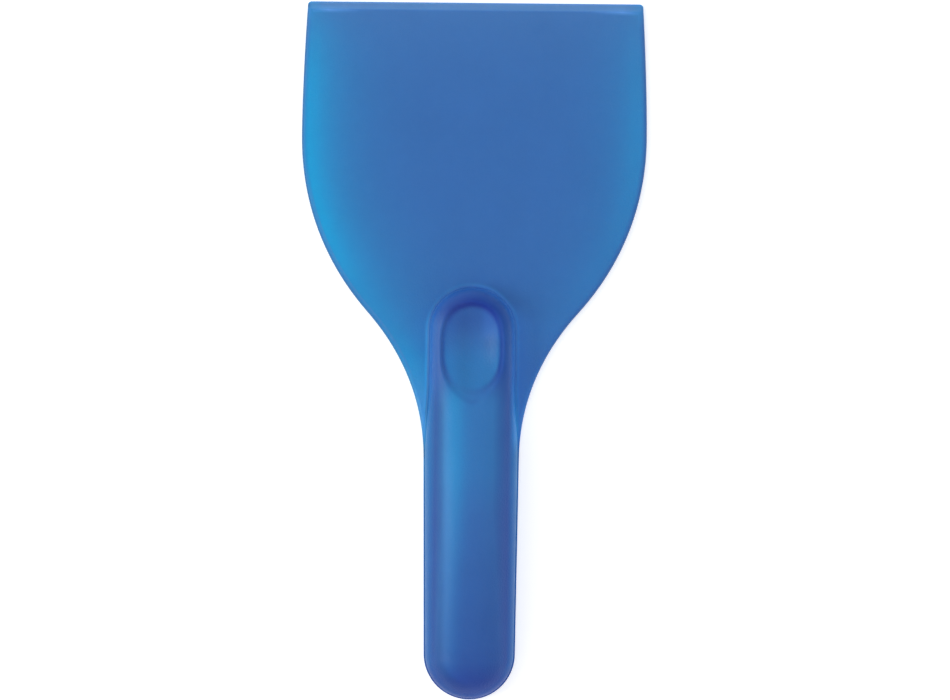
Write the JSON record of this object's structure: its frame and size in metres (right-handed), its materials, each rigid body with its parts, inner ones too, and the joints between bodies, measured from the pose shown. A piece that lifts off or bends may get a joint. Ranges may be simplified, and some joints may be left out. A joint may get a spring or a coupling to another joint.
{
  "type": "windshield ice scraper",
  "caption": "One-hand ice scraper: wide bevelled blade that narrows through a flared neck to a hollow handle with a thumb dish, closed at the back by a flat cover.",
  "frame": {"origin": "middle of the bounding box's base, in the plane of the flat back", "axes": "+Y towards the scraping edge, +Z out of the front face with the thumb dish, +X across the blade"},
  "size_m": [0.1138, 0.23, 0.021],
  "materials": {
    "frosted_blue_shell": "fine frosted, slightly translucent",
    "frosted_blue_cover": "fine frosted, slightly translucent"
  },
  "bodies": {
    "root": {"scraper_moulding": "frosted_blue_shell", "handle_back_cover": "frosted_blue_cover"}
  },
  "joints": []
}
